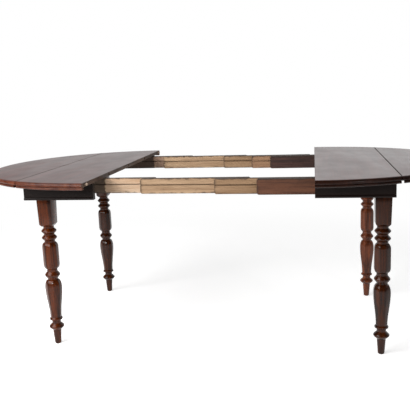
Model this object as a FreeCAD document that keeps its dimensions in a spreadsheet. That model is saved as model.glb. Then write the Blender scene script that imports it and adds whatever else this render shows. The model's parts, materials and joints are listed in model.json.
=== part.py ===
import FreeCAD, Part
import math
import os
import re
import Sketcher
from FreeCAD import Placement, Rotation, Vector

# A round dining table that opens in the middle and has a hinged drop leaf at each end. Each half
# stands on two turned legs and carries a fixed board, a D-shaped leaf, an apron on three sides and
# its share of two telescoping slides. The slides join the halves.
#
# Frame: X runs along the table from the left half to the right half, Y from the front to the back,
# Z up from the floor. The origin is on the floor in the middle of the open table. All sizes are in
# millimetres. Pieces of one half are drawn in that half's own frame, where X runs outwards from the
# edge at which the halves meet. The left half is the same frame turned half round.

doc = FreeCAD.newDocument("RoundExtendingTable")

# ------------------------------------------------------------------------------------------ sizes

SIZES = (
    # the table as a whole
    ("table_height", 725, "floor to the top of the boards"),
    ("top_diameter", 1200, "round top when closed"),
    ("opening", 835, "space between the halves as drawn out"),
    # top boards
    ("top_thickness", 17, "fixed boards and leaves"),
    ("fixed_board_width", 295, "meeting edge to hinge line"),
    ("leaf_gap", 1.8, "joint between fixed board and leaf"),
    ("leaf_tip_bevel", 4, "sharp tips of the leaf and of its bead, taken back from the rim"),
    ("edge_bead_height", 9, "bead glued under the rim"),
    ("edge_bead_width", 18, "bead, in from the rim"),
    ("edge_bead_depth", 3.5, "how far the bead swells out"),
    ("edge_quirk_height", 2, "groove between bead and nose"),
    ("edge_quirk_depth", 6.5, "groove, in from the rim"),
    ("edge_nose_depth", 11, "how far the rounded nose reaches in on top"),
    ("edge_nose_lip", 1, "foot of the nose, in from the rim"),
    # apron
    ("apron_overhang", 115, "rim in front of the apron, at the middle of the closed table"),
    ("apron_setback", 12, "end rail in from the hinge line"),
    ("apron_thickness", 22, "apron boards and end rails"),
    ("apron_height", 64, "underside of the top to the foot of the bead"),
    ("apron_bead_height", 11, "bead under the long aprons"),
    ("corner_block_size", 34, "glue block in the corner of the apron"),
    # legs: the turned lengths are stacked from the floor and the square block takes the rest
    ("leg_inset", 81, "leg block in from the inside of the apron"),
    ("leg_block_width", 62, "square block inside the apron"),
    ("leg_block_foot_width", 56, "square block at its lower end"),
    ("leg_neck_radius", 21.5, "waists between the turned rings"),
    ("leg_ring_radius", 31, "turned rings"),
    ("leg_ring_land", 5, "narrow land round the middle of a ring"),
    ("leg_core_radius", 15, "round core inside the eight-sided lengths"),
    ("peg_height", 63, "peg foot"),
    ("peg_tip_radius", 13, "peg foot near the floor"),
    ("peg_tip_bevel", 3, "bevel round the peg on the floor"),
    ("peg_top_radius", 17.5, "peg foot under the foot ring"),
    ("foot_ring_height", 30, "large ring above the peg"),
    ("ankle_height", 11, "waist above the foot ring"),
    ("ankle_radius", 18, "waist above the foot ring"),
    ("collar_height", 15, "collar with its slopes, under the vase"),
    ("collar_radius", 26.5, "collar"),
    ("vase_height", 165, "eight-sided vase"),
    ("vase_foot_width", 43, "across the flats"),
    ("vase_belly_width", 64, "across the flats where it is widest"),
    ("vase_top_width", 40, "across the flats"),
    ("vase_neck_height", 6.5, "waist above the vase"),
    ("middle_ring_height", 29, "ring between vase and barrel"),
    ("barrel_neck_height", 10.5, "waist under the barrel"),
    ("barrel_height", 115, "eight-sided barrel"),
    ("barrel_width", 61, "across the flats"),
    ("barrel_end_width", 44, "across the flats at both ends"),
    ("barrel_shoulder_height", 20, "rounded ends of the barrel"),
    ("lower_neck_height", 7.5, "waist above the barrel"),
    ("lower_ring_height", 24, "ring above the barrel"),
    ("upper_neck_height", 4.5, "waist between the two upper rings"),
    ("upper_ring_height", 24, "ring under the block"),
    ("block_neck_height", 9, "waist under the block"),
    ("block_cant_height", 9, "slope where the square block starts"),
    # telescoping slides
    ("slide_height", 60, "rails"),
    ("slide_thickness", 23, "rails"),
    ("slide_gap", 1, "running gap between rails"),
    ("slide_top_gap", 0.5, "rails below the boards"),
    ("slide_back_gap", 0.5, "back slide clear of the back aprons"),
    ("slide_end_room", 6, "rail to the far leg block when the table is closed"),
    ("slide_corner_radius", 9, "rounded corners at the rail ends"),
    ("slide_edge_radius", 1.5, "softened long edges"),
    ("packing_thickness", 38.5, "packing between the front apron and the front slide"),
    ("groove_level", 25, "middle of the groove, down from the top of the rail"),
    ("groove_mouth", 4.5, "groove where it opens"),
    ("groove_mouth_depth", 4, "depth of the narrow part"),
    ("groove_room", 14, "groove behind its mouth"),
    ("groove_room_depth", 5, "depth of the wide part"),
    ("groove_stop", 10, "wood left at the end of the groove"),
    ("tongue_length", 34, "tongue that runs in the groove"),
    ("tongue_inset", 2, "tongue in from the end of its rail"),
    ("tongue_fit", 0.5, "play round the tongue"),
    ("front_slide_lap_1", 0.1266, "rail 1 beside rail 2, of all lapping of the slide as drawn out"),
    ("front_slide_lap_2", 0.2931, "rail 2 beside rail 3"),
    ("back_slide_lap_1", 0.1682, "rail 1 beside rail 2, of all lapping of the slide as drawn out"),
    ("back_slide_lap_2", 0.1307, "rail 2 beside rail 3"),
    ("back_slide_lap_3", 0.3229, "rail 3 beside rail 4"),
    ("packing_inset", 15, "packing behind the meeting edge"),
    # cross batten
    ("batten_inset", 130, "batten from the meeting edge"),
    ("batten_width", 44, "along the table"),
    ("batten_height", 31, "batten"),
    # pull-out leaf supports and their guides
    ("loper_inset", 151, "support from the middle line of the leg, towards the table's middle"),
    ("loper_width", 34, "support"),
    ("loper_height", 20, "support"),
    ("loper_gap", 0.4, "play on every side of the support"),
    ("loper_start", 62, "its inner end from the meeting edge"),
    ("loper_tail_length", 12, "broad tail that stops it"),
    ("loper_tail_lip", 8, "tail beyond each side"),
    ("loper_pull", 6, "end that stands out of the rail"),
    ("guide_length", 60, "channel behind the end rail"),
    ("guide_wall", 11, "sides of the channel"),
    ("guide_floor", 7, "floor of the channel"),
    # leaf hinges
    ("hinge_inset", 265, "outer hinges from the rim of the top, at the middle of the table"),
    ("hinge_width", 60, "along the joint"),
    ("hinge_plate_reach", 36, "plate, from the joint"),
    ("hinge_plate_thickness", 2, "plate, let into the wood"),
    ("hinge_barrel_radius", 3.6, "barrel"),
    ("hinge_pin_radius", 1.6, "pin"),
    ("hinge_pin_play", 0.2, "room round the pin"),
    ("hinge_knuckle_gap", 0.3, "between knuckles"),
    ("hinge_pin_drop", 0.5, "pin below the underside of the boards"),
    ("hinge_recess_play", 0.5, "wood cut back round the barrel"),
    # screws and dowels
    ("hinge_screw_reach", 23, "from the joint"),
    ("hinge_screw_spacing", 36, "between the two screws of a plate"),
    ("small_screw_radius", 2, "hinge screw, shank"),
    ("small_screw_head", 3.9, "hinge screw, head radius"),
    ("small_screw_sink", 1.2, "hinge screw, head thickness"),
    ("small_screw_length", 11, "hinge screw, shank"),
    ("wood_screw_radius", 2.5, "batten and slide screws, shank"),
    ("wood_screw_head", 4.8, "batten and slide screws, head radius"),
    ("wood_screw_sink", 3, "batten and slide screws, head thickness"),
    ("wood_screw_grip", 10, "length in the top board"),
    ("batten_screw_inner", 62, "from the middle of the batten"),
    ("batten_screw_inset", 35, "from the end of the batten"),
    ("slide_screw_inner", 45, "from the meeting edge"),
    ("slide_screw_outer", 175, "from the meeting edge"),
    ("slide_screw_inset", 6.5, "from the back face of the rail"),
    ("dowel_radius", 4.5, "alignment dowels"),
    ("dowel_reach", 10, "how far a dowel stands out"),
    ("dowel_depth", 24, "length held in its own board"),
    ("dowel_play", 0.4, "room round a dowel in the other board"),
    ("dowel_inset", 40, "outer dowels from the rim of the top"),
)

NAMES = {name for name, size, note in SIZES}
sheet = doc.addObject("Spreadsheet::Sheet", "Sizes")
for row, (name, size, note) in enumerate(SIZES, start=1):
    sheet.set(f"A{row}", name)
    sheet.set(f"B{row}", str(size))
    sheet.set(f"C{row}", note)
    sheet.setAlias(f"B{row}", name)
doc.recompute()

# Places that follow from the sizes, as expressions in them.
BEYOND = "5"                       # how far a cutting shape reaches past the wood that it cuts
TOP_RADIUS = "(top_diameter / 2)"
CLEAR_OF_TOP = f"({TOP_RADIUS} + {BEYOND})"
UNDERSIDE = "(table_height - top_thickness)"
LEAF_START = "(fixed_board_width + leaf_gap)"
LEAF_BEAD_START = f"({LEAF_START} + edge_bead_height)"
EDGE_BEAD_FOOT = f"({UNDERSIDE} - edge_bead_height)"
APRON_FOOT = f"({UNDERSIDE} - apron_height)"
APRON_END = "(fixed_board_width - apron_setback)"
APRON_FACE = f"({TOP_RADIUS} - apron_overhang)"
APRON_INSIDE = f"({APRON_FACE} - apron_thickness)"
RAIL_INSIDE = f"({APRON_END} - apron_thickness)"
LEG_INSIDE = f"({APRON_END} - leg_block_width)"
LEG_LINE = f"({APRON_INSIDE} - leg_inset - leg_block_width / 2)"
SLIDE_REACH = f"({LEG_INSIDE} - slide_end_room)"
SLIDE_LENGTH = f"({LEG_INSIDE} + {SLIDE_REACH})"
SLIDE_TOP = f"({UNDERSIDE} - slide_top_gap)"
SLIDE_FOOT = f"({SLIDE_TOP} - slide_height)"
SLIDE_PITCH = "(slide_thickness + slide_gap)"
BATTEN_LENGTH = f"(2 * {LEG_LINE} - leg_block_width)"
LOPER_LINE = f"({LEG_LINE} - loper_inset)"
HINGE_LINE = f"({TOP_RADIUS} - hinge_inset)"
DOWEL_SPACING = f"(({TOP_RADIUS} - dowel_inset) / 2)"
LOPER_TOP = f"({UNDERSIDE} - loper_gap)"
LOPER_FOOT = f"({LOPER_TOP} - loper_height)"
CHANNEL_FLOOR = f"({LOPER_FOOT} - loper_gap)"
PIN_PLACE = "(fixed_board_width + leaf_gap / 2)"
PIN_LEVEL = f"({UNDERSIDE} - hinge_pin_drop)"

BEAD_CURVE = "(apron_bead_height * 0.6)"
HALF_FLAT = "tan(22.5)"            # half a side of an eight-sided section, from half its width
VASE_BELLY = "(vase_height * 0.8)"                     # widest place above its foot
VASE_RISES = (0, 0.2, 0.4, 0.6, 0.8, 1)                # sections, as shares of the way to the belly
DOME_ANGLES = (22.5, 45, 67.5, 90)                     # sections of the dome, round its curve
BARREL_SHOULDER = ((0, 0), (0.3, 0.62), (0.65, 0.9), (1, 1))   # shares of shoulder, of widening
COLLAR_SLOPE = "(collar_height / 3)"
LEG_LENGTHS = ("peg_height", "foot_ring_height", "ankle_height", "collar_height", "vase_height",
               "vase_neck_height", "middle_ring_height", "barrel_neck_height", "barrel_height",
               "lower_neck_height", "lower_ring_height", "upper_neck_height", "upper_ring_height",
               "block_neck_height", "block_cant_height")
# The laps of the rails of each slide, as shares; the last rail takes what is left.
SLIDE_LAPS = {"front": ("front_slide_lap_1", "front_slide_lap_2"),
              "back": ("back_slide_lap_1", "back_slide_lap_2", "back_slide_lap_3")}
LAST_RAILS = {depth: len(laps) + 1 for depth, laps in SLIDE_LAPS.items()}
HALVES = ("left", "right")
DEPTHS = ("front", "back")

parts = []


# ------------------------------------------------------------------------------- drawing helpers

def bound(expression):
    """The expression as the document reads it, with every size taken from the sheet."""
    return re.sub(r"[a-z]\w*", lambda word: f"Sizes.{word[0]}" if word[0] in NAMES else word[0],
                  str(expression))


def value(expression):
    """What the expression comes to now."""
    return float(sheet.evalExpression(bound(expression)))


def new_body(label):
    body = doc.addObject("PartDesign::Body", label)
    body.Label = label
    parts.append(body)
    return body


def datum(body, role):
    """One of the body's own origin planes or axes."""
    return next(feature for feature in body.Origin.OriginFeatures if feature.Role == role)


def new_sketch(body, plane, offset="0"):
    """An empty sketch on one of the body's origin planes, moved along the plane's normal."""
    sketch = body.newObject("Sketcher::SketchObject", f"{body.Name}_sketch")
    sketch.AttachmentSupport = [(datum(body, plane), "")]
    sketch.MapMode = "FlatFace"
    sketch.setExpression(".AttachmentOffset.Base.z", bound(offset))
    return sketch


def pin_point(sketch, side, end, point, bindings):
    """Constraints that hold one end of a side, or the centre of a circle, at a place in the sketch."""
    constraints = []
    for kind, axis, place in (("DistanceX", -2, point[0]), ("DistanceY", -1, point[1])):
        if str(place) == "0":
            constraints.append(Sketcher.Constraint("PointOnObject", side, end, axis))
            bindings.append(None)
        else:
            constraints.append(Sketcher.Constraint(kind, -1, 1, side, end, value(place)))
            bindings.append(place)
    return constraints


def add_constraints(sketch, constraints, bindings):
    """Adds the constraints and binds each size among them to the sheet."""
    first = sketch.ConstraintCount
    sketch.addConstraint(constraints)
    for number, expression in enumerate(bindings, start=first):
        if expression is not None:
            sketch.setExpression(f"Constraints[{number}]", bound(expression))


def arc_between(start, end, radius):
    """The short arc of the given radius; it bows to the right of its way for a positive radius."""
    way = end - start
    half = way.Length / 2
    left = Vector(-way.y, way.x, 0).normalize() * math.copysign(1, radius)
    centre = (start + end) / 2 + left * math.sqrt(max(radius * radius - half * half, 0))
    first, last = (start, end) if radius > 0 else (end, start)
    angles = [math.atan2(point.y - centre.y, point.x - centre.x) for point in (first, last)]
    if angles[1] < angles[0]:
        angles[1] += 2 * math.pi
    circle = Part.Circle(centre, Vector(0, 0, 1), abs(radius))
    return Part.ArcOfCircle(circle, angles[0], angles[1])


def outline(sketch, points):
    """A closed outline. A point is (x, y), or (x, y, radius) where an arc leads to the next one."""
    corners = [Vector(value(point[0]), value(point[1]), 0) for point in points]
    first = sketch.GeometryCount
    sides = []
    ends = []
    for number, point in enumerate(points):
        start = corners[number]
        end = corners[(number + 1) % len(points)]
        if len(point) == 2:
            sides.append(Part.LineSegment(start, end))
            ends.append((1, 2))
        else:
            radius = value(point[2])
            sides.append(arc_between(start, end, radius))
            ends.append((1, 2) if radius > 0 else (2, 1))
    sketch.addGeometry(sides, False)
    constraints = []
    bindings = []
    for number, point in enumerate(points):
        before = (number - 1) % len(points)
        constraints.append(Sketcher.Constraint("Coincident", first + before, ends[before][1],
                                               first + number, ends[number][0]))
        bindings.append(None)
        constraints += pin_point(sketch, first + number, ends[number][0], point, bindings)
        if len(point) == 3:
            constraints.append(Sketcher.Constraint("Radius", first + number,
                                                   abs(value(point[2]))))
            bindings.append(point[2].lstrip("-"))
    add_constraints(sketch, constraints, bindings)


def rectangle(sketch, x_from, x_to, y_from, y_to):
    outline(sketch, ((x_from, y_from), (x_to, y_from), (x_to, y_to), (x_from, y_to)))


def circle(sketch, x, y, radius):
    number = sketch.addGeometry(Part.Circle(Vector(value(x), value(y), 0), Vector(0, 0, 1),
                                            value(radius)), False)
    bindings = []
    constraints = pin_point(sketch, number, 3, (x, y), bindings)
    constraints.append(Sketcher.Constraint("Radius", number, value(radius)))
    bindings.append(radius)
    add_constraints(sketch, constraints, bindings)


def extruded(body, kind, sketch, length, reverse=False):
    """A pad or a pocket of the given length."""
    feature = body.newObject(f"PartDesign::{kind}", f"{body.Name}_{kind.lower()}")
    feature.Profile = sketch
    feature.Reversed = reverse
    feature.setExpression("Length", bound(length))
    body.Tip = feature


def turned(body, sketch):
    """A revolution all the way round the body's upright axis."""
    feature = body.newObject("PartDesign::Revolution", f"{body.Name}_revolution")
    feature.Profile = sketch
    feature.ReferenceAxis = (datum(body, "Z_Axis"), [""])
    feature.Angle = 360
    body.Tip = feature


def rounded(body, radius, chosen):
    """Rounds the edges that the test chooses."""
    doc.recompute()
    base = body.Tip
    names = [f"Edge{number}" for number, edge in enumerate(base.Shape.Edges, start=1)
             if chosen(edge)]
    feature = body.newObject("PartDesign::Fillet", f"{body.Name}_fillet")
    feature.Base = (base, names)
    feature.setExpression("Radius", bound(radius))
    body.Tip = feature


def place(body, x, y="0", turn=0):
    body.Placement = Placement(Vector(), Rotation(Vector(0, 0, 1), turn))
    body.setExpression(".Placement.Base.x", bound(x))
    body.setExpression(".Placement.Base.y", bound(y))


def place_in_half(body, half, x="0", y="0"):
    """Puts a body that is drawn in a half's frame where that half stands."""
    if half == "left":
        place(body, f"-(opening / 2 + {x})", f"-({y})", turn=180)
    else:
        place(body, f"opening / 2 + {x}", y)


def sign_in_half(half, depth):
    """Which way the front or the back of the table lies along a half's own Y axis."""
    return "-" if (half == "right") == (depth == "front") else ""


# ------------------------------------------------------------------------------------- top boards

def round_top(body):
    """The whole round top, its rim with a rounded nose over a quirk.

    The section is drawn on the side that is sawn off, so that the turned faces have their seam there.
    """
    quirk = f"edge_quirk_depth - {TOP_RADIUS}"
    nose_foot = f"{UNDERSIDE} + edge_quirk_height"
    nose_drop = "(top_thickness - edge_quirk_height)"
    nose_run = "(edge_nose_depth - edge_nose_lip)"
    nose_radius = f"(({nose_run}^2 + {nose_drop}^2) / (2 * {nose_drop}))"
    sketch = new_sketch(body, "XZ_Plane")
    outline(sketch, (
        ("0", UNDERSIDE),
        (quirk, UNDERSIDE),
        (quirk, nose_foot),
        (f"edge_nose_lip - {TOP_RADIUS}", nose_foot, f"-{nose_radius}"),
        (f"edge_nose_depth - {TOP_RADIUS}", "table_height"),
        ("0", "table_height")))
    turned(body, sketch)


def sawn(body, spans):
    """Takes the stretches between the given places along X off the round work."""
    sketch = new_sketch(body, "XY_Plane", f"{EDGE_BEAD_FOOT} - {BEYOND}")
    for start, end in spans:
        rectangle(sketch, start, end, f"-{CLEAR_OF_TOP}", CLEAR_OF_TOP)
    extruded(body, "Pocket", sketch, f"edge_bead_height + top_thickness + 2 * {BEYOND}", reverse=True)


def blunt_tips(body, start):
    """Takes off the sharp tips at the straight edge of the leaf or of its bead, square to the rim."""
    reach = f"({TOP_RADIUS} - leaf_tip_bevel)"
    tip = f"sqrt({reach}^2 - {start}^2)"
    outwards = f"{CLEAR_OF_TOP} / {reach}"
    sketch = new_sketch(body, "XY_Plane", f"{EDGE_BEAD_FOOT} - {BEYOND}")
    for side in ("", "-"):
        outline(sketch, (
            (start, f"{side}{tip}"),
            (f"{start} * {outwards}", f"{side}{tip} * {outwards}"),
            (start, f"{side}{tip} * {outwards}")))
    extruded(body, "Pocket", sketch, f"edge_bead_height + top_thickness + 2 * {BEYOND}", reverse=True)


def edge_bead(half, part_of):
    """The bead glued under the rim of the board or of the leaf, in the same round.

    The leaf's is cut back from the joint by its own height, so that it clears the board's bead when
    the leaf hangs down.
    """
    body = new_body(f"{half}_{part_of}_bead")
    inside = f"edge_bead_width - {TOP_RADIUS}"
    root = f"edge_bead_depth - {TOP_RADIUS}"
    curve = "((edge_bead_height^2 / 4 + edge_bead_depth^2) / (2 * edge_bead_depth))"
    sketch = new_sketch(body, "XZ_Plane")
    outline(sketch, (
        (inside, UNDERSIDE),
        (inside, EDGE_BEAD_FOOT),
        (root, EDGE_BEAD_FOOT, f"-{curve}"),
        (root, UNDERSIDE)))
    turned(body, sketch)
    if part_of == "board":
        sawn(body, ((f"-{CLEAR_OF_TOP}", "0"), ("fixed_board_width", CLEAR_OF_TOP)))
    else:
        sawn(body, ((f"-{CLEAR_OF_TOP}", LEAF_BEAD_START),))
        blunt_tips(body, LEAF_BEAD_START)
    place_in_half(body, half)


def hinge_places():
    return (f"-{HINGE_LINE}", "0", HINGE_LINE)


def joint_edge(part_of):
    """The edge of the fixed board or of the leaf along the hinge line, and the way into its wood."""
    return ("fixed_board_width", "-") if part_of == "board" else (LEAF_START, "+")


def hinge_screw_places(part_of):
    joint, way = joint_edge(part_of)
    return [(f"{joint} {way} hinge_screw_reach", f"{middle} {side} hinge_screw_spacing / 2")
            for middle in hinge_places() for side in "+-"]


def let_in_hinges(body, part_of):
    """Recesses in the underside for the hinge plates, their barrels and their screws."""
    joint, way = joint_edge(part_of)
    cuts = (("hinge_plate_reach", "hinge_plate_thickness"),
            ("hinge_barrel_radius + hinge_recess_play", "hinge_barrel_radius"))
    for reach, depth in cuts:
        sketch = new_sketch(body, "XY_Plane", UNDERSIDE)
        for middle in hinge_places():
            rectangle(sketch, joint, f"{joint} {way} ({reach})",
                      f"{middle} - hinge_width / 2", f"{middle} + hinge_width / 2")
        extruded(body, "Pocket", sketch, depth, reverse=True)
    sketch = new_sketch(body, "XY_Plane", UNDERSIDE)
    for x, y in hinge_screw_places(part_of):
        circle(sketch, x, y, "small_screw_radius")
    extruded(body, "Pocket", sketch, "small_screw_sink + small_screw_length", reverse=True)


def dowel_places(half):
    """Where a meeting edge holds dowels and where it has holes; only the left one has dowels."""
    outer = (f"-2 * {DOWEL_SPACING}", f"2 * {DOWEL_SPACING}")
    inner = (f"-{DOWEL_SPACING}", "0", DOWEL_SPACING)
    return (outer, inner) if half == "left" else ((), outer + inner)


def slide_screw_places(half):
    """Where the screws of the half's two fixed rails stand, in the half's frame."""
    lines = []
    for depth, last in LAST_RAILS.items():
        face = rail_face(depth, 0 if half == "left" else last)
        line = f"({face} + slide_thickness - slide_screw_inset)"
        lines.append(f"-{line}" if half == "left" else line)
    return [(reach, line) for line in lines for reach in ("slide_screw_inner", "slide_screw_outer")]


def batten_screw_places():
    middle = "batten_inset + batten_width / 2"
    outer = f"({BATTEN_LENGTH} / 2 - batten_screw_inset)"
    return [(middle, f"{side}{reach}") for reach in ("batten_screw_inner", outer)
            for side in ("", "-")]


def dowel_holes(body, places, radius, depth):
    """Holes in the meeting edge, at mid thickness."""
    if places:
        sketch = new_sketch(body, "YZ_Plane")
        for y in places:
            circle(sketch, y, f"{UNDERSIDE} + top_thickness / 2", radius)
        extruded(body, "Pocket", sketch, depth, reverse=True)


def fixed_board(half):
    body = new_body(f"{half}_fixed_board")
    round_top(body)
    sawn(body, ((f"-{CLEAR_OF_TOP}", "0"), ("fixed_board_width", CLEAR_OF_TOP)))
    let_in_hinges(body, "board")
    held, received = dowel_places(half)
    dowel_holes(body, held, "dowel_radius", "dowel_depth")
    dowel_holes(body, received, "dowel_radius + dowel_play", "dowel_reach + dowel_play")
    sketch = new_sketch(body, "XY_Plane", UNDERSIDE)
    for x, y in slide_screw_places(half) + batten_screw_places():
        circle(sketch, x, y, "wood_screw_radius")
    extruded(body, "Pocket", sketch, "wood_screw_grip", reverse=True)
    place_in_half(body, half)


def drop_leaf(half):
    body = new_body(f"{half}_drop_leaf")
    round_top(body)
    sawn(body, ((f"-{CLEAR_OF_TOP}", LEAF_START),))
    blunt_tips(body, LEAF_START)
    let_in_hinges(body, "leaf")
    place_in_half(body, half)


def dowels():
    body = new_body("left_alignment_dowels")
    sketch = new_sketch(body, "YZ_Plane", "-dowel_reach")
    for y in dowel_places("left")[0]:
        circle(sketch, y, f"{UNDERSIDE} + top_thickness / 2", "dowel_radius")
    extruded(body, "Pad", sketch, "dowel_reach + dowel_depth")
    place_in_half(body, "left")


# ------------------------------------------------------------------------------------------ apron

def apron(half, depth):
    body = new_body(f"{half}_{depth}_apron")
    side = sign_in_half(half, depth)
    sketch = new_sketch(body, "XY_Plane", f"{APRON_FOOT} + apron_bead_height")
    rectangle(sketch, "0", APRON_END, f"{side}{APRON_INSIDE}", f"{side}{APRON_FACE}")
    extruded(body, "Pad", sketch, "apron_height - apron_bead_height")
    place_in_half(body, half)


def apron_bead(half, depth):
    """A half-round bead under the apron, flush with it inside and swelling out in front."""
    body = new_body(f"{half}_{depth}_apron_bead")
    side = sign_in_half(half, depth)
    inside = f"{side}{APRON_INSIDE}"
    outside = f"{side}{APRON_FACE}"
    corners = [(inside, APRON_FOOT), (outside, APRON_FOOT, BEAD_CURVE),
               (outside, f"{APRON_FOOT} + apron_bead_height"),
               (inside, f"{APRON_FOOT} + apron_bead_height")]
    if side:
        corners[1] = (outside, APRON_FOOT, f"-{BEAD_CURVE}")
    sketch = new_sketch(body, "YZ_Plane")
    outline(sketch, corners)
    extruded(body, "Pad", sketch, APRON_END)
    place_in_half(body, half)


def end_rail(half):
    """The apron under the hinge line, notched at the top where the leaf supports pass."""
    body = new_body(f"{half}_end_rail")
    sketch = new_sketch(body, "XY_Plane", APRON_FOOT)
    rectangle(sketch, RAIL_INSIDE, APRON_END, f"-{APRON_INSIDE}", APRON_INSIDE)
    extruded(body, "Pad", sketch, "apron_height")
    sketch = new_sketch(body, "XY_Plane", UNDERSIDE)
    for side in ("", "-"):
        middle = f"{side}{LOPER_LINE}"
        rectangle(sketch, f"{RAIL_INSIDE} - {BEYOND}", f"{APRON_END} + {BEYOND}",
                  f"{middle} - loper_width / 2 - loper_gap",
                  f"{middle} + loper_width / 2 + loper_gap")
    extruded(body, "Pocket", sketch, f"{UNDERSIDE} - {CHANNEL_FLOOR}")
    place_in_half(body, half)


def corner_blocks(half):
    """Three-cornered glue blocks where the long aprons meet the end rail."""
    body = new_body(f"{half}_corner_blocks")
    sketch = new_sketch(body, "XY_Plane", f"{APRON_FOOT} + apron_bead_height")
    for side in ("", "-"):
        outline(sketch, (
            (RAIL_INSIDE, f"{side}{APRON_INSIDE}"),
            (f"{RAIL_INSIDE} - corner_block_size", f"{side}{APRON_INSIDE}"),
            (RAIL_INSIDE, f"{side}({APRON_INSIDE} - corner_block_size)")))
    extruded(body, "Pad", sketch, "apron_height - apron_bead_height")
    place_in_half(body, half)


# ------------------------------------------------------------------------------------------- legs

def foot_of(length):
    """Height above the floor at which one of the leg's stacked lengths starts."""
    below = LEG_LENGTHS[:LEG_LENGTHS.index(length)]
    return f"({' + '.join(below)})"


def head_of(length):
    return f"({foot_of(length)} + {length})"


def ring(length, root):
    """Section of a turned ring: two slopes that rise from its root to a narrow land."""
    middle = f"({foot_of(length)} + {length} / 2)"
    return [(root, foot_of(length)), ("leg_ring_radius", f"{middle} - leg_ring_land / 2"),
            ("leg_ring_radius", f"{middle} + leg_ring_land / 2"), (root, head_of(length))]


def turned_core(body):
    """The round work: peg, rings and waists, with a plain core inside the eight-sided lengths."""
    points = [("0", "0"),
              ("peg_tip_radius - peg_tip_bevel", "0"),
              ("peg_tip_radius", "peg_tip_bevel"),
              ("peg_top_radius", "peg_height")]
    points += ring("foot_ring_height", "ankle_radius")
    points += [("ankle_radius", foot_of("collar_height")),
               ("collar_radius", f"{foot_of('collar_height')} + {COLLAR_SLOPE}"),
               ("collar_radius", f"{head_of('collar_height')} - {COLLAR_SLOPE}"),
               ("vase_foot_width / 2", foot_of("vase_height")),
               ("leg_core_radius", foot_of("vase_height")),
               ("leg_core_radius", head_of("vase_height")),
               ("vase_top_width / 2", head_of("vase_height"))]
    points += ring("middle_ring_height", "leg_neck_radius")
    points += [("leg_neck_radius", foot_of("barrel_height")),
               ("leg_core_radius", foot_of("barrel_height")),
               ("leg_core_radius", head_of("barrel_height")),
               ("leg_neck_radius", head_of("barrel_height"))]
    points += ring("lower_ring_height", "leg_neck_radius")
    points += ring("upper_ring_height", "leg_neck_radius")
    points += [("leg_neck_radius", foot_of("block_cant_height")),
               ("0", foot_of("block_cant_height"))]
    sketch = new_sketch(body, "XZ_Plane")
    outline(sketch, points)
    turned(body, sketch)


def section(body, level, width, eight_sided):
    """A square or eight-sided section of the leg at a level, its flats facing front and sides."""
    sketch = new_sketch(body, "XY_Plane", level)
    half = f"({width}) / 2"
    if eight_sided:
        short = f"{half} * {HALF_FLAT}"
        outline(sketch, (
            (half, f"-{short}"), (half, short), (short, half), (f"-{short}", half),
            (f"-{half}", short), (f"-{half}", f"-{short}"), (f"-{short}", f"-{half}"),
            (short, f"-{half}")))
    else:
        rectangle(sketch, f"-{half}", half, f"-{half}", half)
    return sketch


def lofted(body, levels, eight_sided):
    """A loft with flat sides through sections given as (level, width)."""
    sketches = [section(body, level, width, eight_sided) for level, width in levels]
    feature = body.newObject("PartDesign::AdditiveLoft", f"{body.Name}_loft")
    feature.Profile = sketches[0]
    feature.Sections = sketches[1:]
    feature.Ruled = True
    body.Tip = feature


def vase_sections():
    """Level and width of each section of the vase, a slow swelling under a dome."""
    foot = foot_of("vase_height")
    swelling = "(vase_belly_width - vase_foot_width)"
    dome = f"(vase_height - {VASE_BELLY})"
    narrowing = "(vase_belly_width - vase_top_width)"
    rising = [(f"{foot} + {rise} * {VASE_BELLY}",
               f"vase_foot_width + {swelling} * (1 - cos(180 * {rise})) / 2")
              for rise in VASE_RISES]
    closing = [(f"{foot} + {VASE_BELLY} + {dome} * sin({angle})",
                f"vase_top_width + {narrowing} * cos({angle})")
               for angle in DOME_ANGLES]
    return rising + closing


def barrel_sections():
    """Level and width of each section of the barrel, from its foot to its top."""
    widening = "(barrel_width - barrel_end_width)"
    widths = [(rise, f"barrel_end_width + {share} * {widening}") for rise, share in BARREL_SHOULDER]
    lower = [(f"{foot_of('barrel_height')} + {rise} * barrel_shoulder_height", width)
             for rise, width in widths]
    upper = [(f"{head_of('barrel_height')} - {rise} * barrel_shoulder_height", width)
             for rise, width in reversed(widths)]
    return lower + upper


def shaped_leg(label):
    """A whole leg about its own axis: block, rings, barrel, vase, collar, foot ring and peg."""
    body = new_body(label)
    turned_core(body)
    lofted(body, vase_sections(), eight_sided=True)
    lofted(body, barrel_sections(), eight_sided=True)
    lofted(body, (
        (foot_of("block_cant_height"), "2 * leg_neck_radius"),
        (head_of("block_cant_height"), "leg_block_foot_width"),
        (APRON_FOOT, "leg_block_width"),
        (UNDERSIDE, "leg_block_width")), eight_sided=False)
    sketch = new_sketch(body, "XY_Plane", UNDERSIDE)
    rectangle(sketch, "leg_block_width / 2 - apron_thickness", f"leg_block_width / 2 + {BEYOND}",
              f"-leg_block_width / 2 - {BEYOND}", f"leg_block_width / 2 + {BEYOND}")
    extruded(body, "Pocket", sketch, "apron_height")
    return body


def legs():
    """One leg is worked out in full and the other three are copies of it."""
    pattern = None
    for half in HALVES:
        for depth in DEPTHS:
            label = f"{half}_{depth}_leg"
            if pattern is None:
                body = pattern = shaped_leg(label)
            else:
                body = new_body(label)
                body.BaseFeature = pattern
            place_in_half(body, half, f"{APRON_END} - leg_block_width / 2",
                          f"{sign_in_half(half, depth)}{LEG_LINE}")


# ----------------------------------------------------------------------------- telescoping slides

def rail_face(depth, number):
    """Y of the front face of a rail; rail 0 is the farthest back of its slide."""
    if depth == "back":
        return f"{APRON_INSIDE} - slide_back_gap - slide_thickness - {number} * {SLIDE_PITCH}"
    return f"packing_thickness - {APRON_INSIDE} + {LAST_RAILS[depth] - number} * {SLIDE_PITCH}"


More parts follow.
